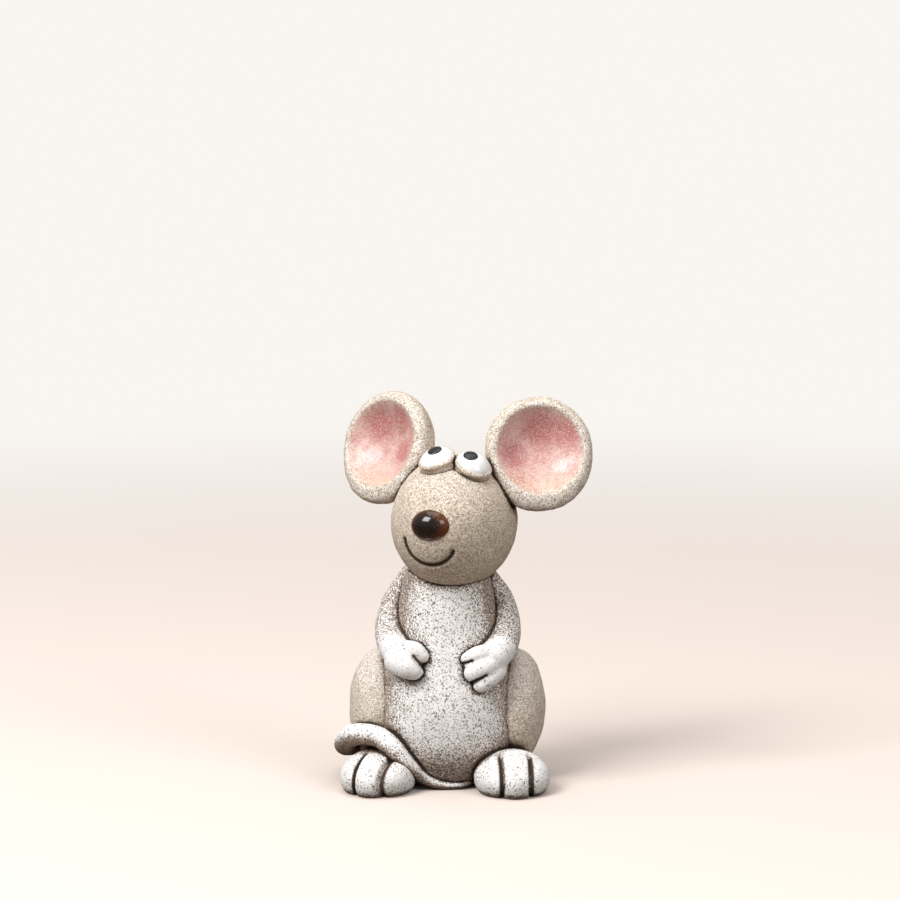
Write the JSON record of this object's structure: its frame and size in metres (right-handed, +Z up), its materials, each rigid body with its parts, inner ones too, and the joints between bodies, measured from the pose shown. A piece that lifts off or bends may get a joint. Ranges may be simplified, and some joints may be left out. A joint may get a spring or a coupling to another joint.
{
  "type": "mouse figurine",
  "caption": "Small seated mouse ornament in sanded stoneware, with big cupped ears, a glossy bead nose, raised glazed eyes and a long tail laid over one foot.",
  "frame": {"origin": "on the resting plane, at the axis of the turned body, in the middle of the body's base face", "axes": "+Z up, the mouse faces -Y, its own left side is +X"},
  "size_m": [0.0789, 0.0568, 0.1177],
  "materials": {
    "sanded_clay": "matt sand-grained beige stoneware, brown wash in the creases",
    "brushed_clay": "the same clay, dry-brushed white",
    "pink_glaze": "glossy pink glaze over grain",
    "white_glaze": "glossy white",
    "black_glaze": "satin black",
    "amber_glaze": "deep amber-brown gloss"
  },
  "bodies": {
    "root": {"body": "brushed_clay", "head": "sanded_clay", "nose_bead": "amber_glaze", "ear_left": "sanded_clay", "ear_right": "sanded_clay", "ear_glaze_left": "pink_glaze", "ear_glaze_right": "pink_glaze", "eye_mound_left": "sanded_clay", "eye_mound_right": "sanded_clay", "eye_white_left": "white_glaze", "eye_white_right": "white_glaze", "pupil_left": "black_glaze", "pupil_right": "black_glaze", "arm_left": "brushed_clay", "arm_right": "brushed_clay", "haunch_left": "sanded_clay", "haunch_right": "sanded_clay", "foot_left": "brushed_clay", "foot_right": "brushed_clay", "tail": "brushed_clay"}
  },
  "joints": []
}
